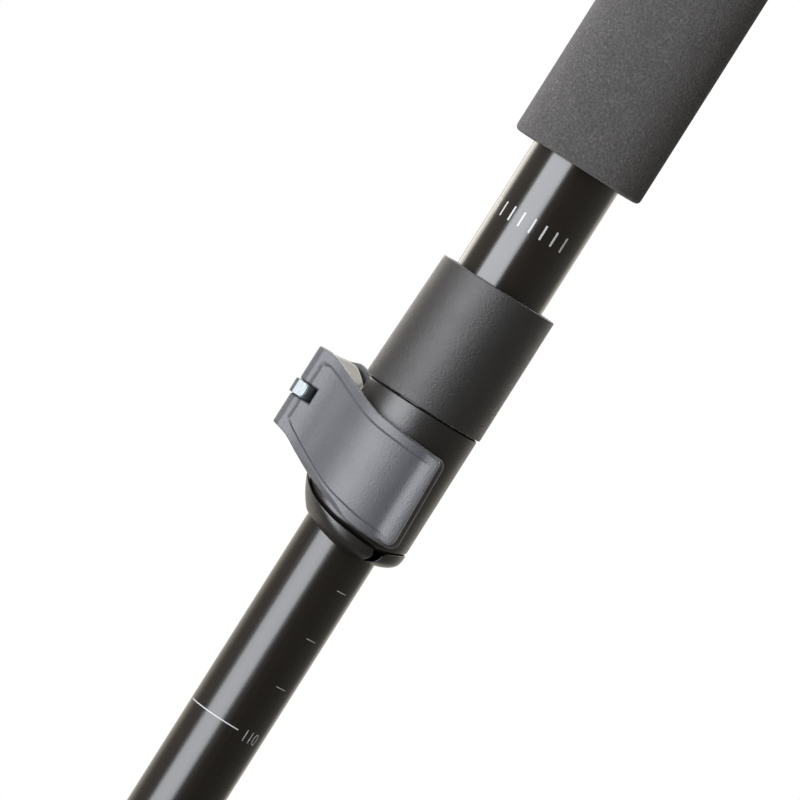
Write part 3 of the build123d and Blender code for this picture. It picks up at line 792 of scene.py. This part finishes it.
def basket_field(x, y, z):
    """A shallow dish with a round rim, a hub, and a window between each two ribbed spokes."""
    h = z - basket_low
    radius = np.hypot(x, y)
    turn = math.pi * 2 / SPOKES
    off = (np.arctan2(y, x) + turn / 2) % turn - turn / 2
    across = np.abs(radius * np.sin(off))
    middle_height = 4.9 + 0.195 * (radius - 9.6)
    bore = HUB_BORE - radius
    dish = np.maximum(np.abs(h - middle_height) - 0.95, np.maximum(radius - basket_radius + 0.8, bore))
    window = round_max(round_max(WINDOW_IN - radius, radius - WINDOW_OUT, 1.2), SPOKE_HALF - across, 1.2)
    dish = bevel_max(dish, -window, 0.5)
    rim = np.hypot(radius - basket_radius + 1.15, h - middle_height) - 1.13
    rib = np.maximum(np.maximum(across - 0.55, np.abs(h - middle_height - 0.9) - 0.65), radius - 24)
    rib = np.maximum(rib, 9 - radius)
    flute = 0.3 * smooth_step(np.cos(off * SPOKES * 2), 0.2, 0.6)
    hub = round_max(radius - HUB_RADIUS + flute, np.abs(h - HUB_MIDDLE) - 4.9, 0.5)
    hub = np.maximum(hub, bore)
    body = smooth_min(smooth_min(dish, rim, 0.5), smooth_min(hub, rib, 0.4), 0.6)
    return np.maximum(body, bore)


edge = basket_radius + 0.8
corner, far_corner = (-edge, -edge, basket_low - 0.9), (edge, edge, basket_high + 0.9)
vertices, faces = skin(basket_field, corner, far_corner, 0.36)
piece("basket_web", vertices, faces, "lower_section", basket_plastic, ["basket"])

# ---------------------------------------------------------------- tip ferrule, flexible tip, point
ferrule_high = high("tip_ferrule").z
rows = [(0.05, 22), (4.3, 22), (5.0, 26), (5.0, 40), (6.4, 44), (7.0, basket_low), (7.0, basket_high)]
rows += [(8.4, basket_high + 0.1), (8.4, basket_high + 3), (7.7, basket_high + 4), (7.55, 70), (7.3, 71)]
rows += [(7.3, 88), (7.5, 89), (7.3, ferrule_high), (LOWER_RADIUS, ferrule_high)]
rows += [(LOWER_RADIUS, 63.9), (0.05, 63.9)]
radii = [0, 0.4, 1.5, 1.0, 1.0, 0.2, 0, 0.4, 0.5, 0.6, 0.3, 0, 0, 0.3, 0.3, 0, 0, 0]


def ferrule_ribs(r, angle, z):
    """Eight flats on the ferrule's long neck, and slim ribs above the basket."""
    neck = smooth_step(z, 71.5, 73) * (1 - smooth_step(z, 86, 87.5)) * (r > LOWER_RADIUS + 0.3)
    return r - 0.35 * neck * (0.5 + 0.5 * np.cos(angle * 16)) ** 2


profile = []
outline = rounded(rows, radii, 4)
for start, end in zip(outline, outline[1:] + outline[:1]):
    cuts = max(1, int(abs(end[1] - start[1]) / 0.6)) if start[0] > 6.5 and start[1] > 68 else 1
    profile += [tuple(np.array(start) + (np.array(end) - np.array(start)) * k / cuts) for k in range(cuts)]
vertices, faces = lathe(profile, 256, ferrule_ribs)
piece("ferrule_shell", vertices, faces, "lower_section", tip_plastic, ["tip_ferrule"], 50)

tip_low, tip_high = low("flex_tip").z, high("flex_tip").z
rows = [(0.05, tip_low), (3.1, tip_low), (3.4, 11.2), (3.15, 11.8), (3.45, 12.4), (3.75, 15.0)]
rows += [(3.45, 15.6), (3.8, 16.2), (4.05, 19.0), (3.75, 19.6), (4.1, 20.2)]
rows += [(4.2, tip_high), (0.05, tip_high)]
vertices, faces = lathe(rounded(rows, [0, 0.3] + [0.25] * 9 + [0.3, 0], 3), 96)
piece("flex_tip_ringed", vertices, faces, "lower_section", tip_plastic, ["flex_tip"], 60)

point_high = high("carbide_tip").z
rows = [(0.05, 1.1), (0.9, 0.55), (1.5, 0.0), (2.05, 0.4), (2.2, 1.4), (2.3, 3.0)]
rows += [(2.3, point_high), (0.05, point_high)]
POINT_FLUTES = 8


def fluted(r, angle, z):
    """Shallow flutes round the point, which run out above it."""
    flute = 0.5 + 0.5 * np.cos(angle * POINT_FLUTES)
    return r * (1 - 0.16 * flute * (1 - smooth_step(z, 1.5, 5.0)))


vertices, faces = lathe(rounded(rows, [0, 0.2, 0.06, 0.15, 0.3, 0.3, 0, 0], 3), 96, fluted)
piece("carbide_point", vertices, faces, "lower_section", carbide, ["carbide_tip"], 40)

# ---------------------------------------------------------------- finishes of the CAD nodes that stay
finishes = {
    "foam": foam,
    "black_tube": black_tube,
    "collar_plastic": collar_plastic,
    "clamp_plastic": clamp_plastic,
    "lever_plastic": lever_plastic,
    "steel": steel,
    "grip": grip_rubber,
    "cap_plastic": cap_plastic,
    "liner_plastic": liner_plastic,
    "wear_plate": wear_plate,
    "ferrule_metal": ferrule_metal,
    "button_metal": button_metal,
    "spring_steel": spring_steel,
    "cord": cord_sheath,
    "basket_plastic": basket_plastic,
    "tip_plastic": tip_plastic,
    "carbide": carbide,
}
finish_of = {"scale_shaft": black_shaft, "tension_bolt": zinc, "pivot_barrel": zinc}
slots = {part["node"]: part["material_slot"] for part in frame["record"]["subparts"]}
for node, obj in frame["nodes"].items():
    if slots[node] in finishes:
        obj.data.materials.clear()
        obj.data.materials.append(finish_of.get(node, finishes[slots[node]]))

# ---------------------------------------------------------------- leaf spring under the snap button
leaf = bpy.data.objects.new("button_leaf", frame["nodes"]["button_spring"].data.copy())
bpy.context.scene.collection.objects.link(leaf)
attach(leaf, "telescoping_shaft")
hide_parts("button_spring")
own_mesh(leaf)

# ---------------------------------------------------------------- floor, light and camera
# the floor lies low enough to clear the tip when every section is pulled out
FLOOR_RADIUS, FLOOR_HEIGHT = 1.9, -0.30


def flat_disc(name, radius, height, material, segments=96):
    mesh = bpy.data.meshes.new(name)
    angles = [2 * math.pi * k / segments for k in range(segments)]
    ring = [(radius * math.cos(angle), radius * math.sin(angle), height) for angle in angles]
    mesh.from_pydata(ring, [], [list(range(segments))])
    obj = bpy.data.objects.new(name, mesh)
    bpy.context.scene.collection.objects.link(obj)
    mesh.materials.append(material)
    return obj


pale = Surface("pale_floor", 0.7)
pale.colour(pale.mixed(pale.noise(0.01, 3.0), (0.88, 0.88, 0.875), (0.92, 0.92, 0.915)))
floor = flat_disc("floor", FLOOR_RADIUS, FLOOR_HEIGHT, pale.material)
floor.visible_glossy = False

world = bpy.data.worlds.new("studio")
bpy.context.scene.world = world
world.use_nodes = True
nodes, links = world.node_tree.nodes, world.node_tree.links
nodes.clear()
output = nodes.new("ShaderNodeOutputWorld")
place = nodes.new("ShaderNodeTexCoord")
toward_back = nodes.new("ShaderNodeVectorMath")
toward_back.operation = "DOT_PRODUCT"
toward_back.inputs[1].default_value = Vector((-0.13, 0.93, 0.34)).normalized()
links.new(place.outputs["Generated"], toward_back.inputs[0])
ramp = nodes.new("ShaderNodeValToRGB")
ramp.color_ramp.interpolation = "LINEAR"
stops = [(0.0, 0.12), (0.07, 0.15), (0.21, 0.24), (0.39, 0.36)]
stops += [(0.75, 0.50), (0.80, 0.85), (0.85, 1.15), (1.0, 1.2)]
while len(ramp.color_ramp.elements) < len(stops):
    ramp.color_ramp.elements.new(0.5)
for element, (at, value) in zip(ramp.color_ramp.elements, stops):
    element.position = at
    element.color = (value, value * 0.94, value * 0.84, 1)
backness = nodes.new("ShaderNodeMapRange")
backness.inputs["From Min"].default_value = -1
links.new(toward_back.outputs["Value"], backness.inputs["Value"])
links.new(backness.outputs[0], ramp.inputs[0])
seen, unseen = nodes.new("ShaderNodeBackground"), nodes.new("ShaderNodeBackground")
seen.inputs["Color"].default_value = (1, 1, 1, 1)
links.new(ramp.outputs[0], unseen.inputs["Color"])
path = nodes.new("ShaderNodeLightPath")
mix = nodes.new("ShaderNodeMixShader")
links.new(path.outputs["Is Camera Ray"], mix.inputs[0])
links.new(unseen.outputs[0], mix.inputs[1])
links.new(seen.outputs[0], mix.inputs[2])
links.new(mix.outputs[0], output.inputs["Surface"])


def soft_light(name, azimuth, elevation, distance, width, tall, radiance, centre, colour=(1, 1, 1)):
    """A rectangular soft light. Azimuth 0 is the camera's side, and positive is to its right."""
    light = bpy.data.lights.new(name, "AREA")
    light.shape = "RECTANGLE"
    light.size, light.size_y = width, tall
    light.energy = radiance * math.pi * width * tall
    light.color = colour
    obj = bpy.data.objects.new(name, light)
    bpy.context.scene.collection.objects.link(obj)
    a, e = math.radians(azimuth), math.radians(elevation)
    toward = Vector((math.sin(a) * math.cos(e), -math.cos(a) * math.cos(e), math.sin(e)))
    obj.location = Vector(centre) + toward * distance
    obj.rotation_euler = toward.to_track_quat("Z", "Y").to_euler()
    obj.visible_camera = False
    return obj


middle = (0, 0, 0.78)
soft_light("key", -38.75, 7, 1.3, 1.31, 2.2, 11.5, middle, (0.928, 0.946, 1.0))
soft_light("rim", -142, 0, 0.6, 0.32, 0.46, 2.6, (0, 0, 1.005), (1.0, 0.95, 0.86))
soft_light("overhead", 178, 55, 1.3, 1.3, 1.3, 5.0, middle, (1.0, 0.96, 0.9))

camera_data = bpy.data.cameras.new("camera")
camera = bpy.data.objects.new("camera", camera_data)
bpy.context.scene.collection.objects.link(camera)
bpy.context.scene.camera = camera
DISTANCE = 1.10
EYE_HEIGHT = 0.817
VIEW_WIDTH = 0.14035
SENSOR = 36
LEAN = math.radians(32.26)
camera_data.sensor_width = SENSOR
camera_data.lens = SENSOR * DISTANCE / VIEW_WIDTH
camera_data.clip_start, camera_data.clip_end = 0.05, 20
target = Vector((-0.00433, 0, SPLIT * MM - 0.0012))
eye = Vector((target.x, -DISTANCE, EYE_HEIGHT))
toward = (target - eye).normalized()
right = toward.cross(Vector((0, 0, 1))).normalized()
up = right.cross(toward)
leaned_right = right * math.cos(LEAN) + up * math.sin(LEAN)
leaned_up = -right * math.sin(LEAN) + up * math.cos(LEAN)
axes = Matrix((leaned_right, leaned_up, -toward)).transposed()
camera.matrix_world = Matrix.Translation(eye) @ axes.to_4x4()

scene = bpy.context.scene
scene.view_settings.view_transform = "Standard"
scene.view_settings.look = "None"
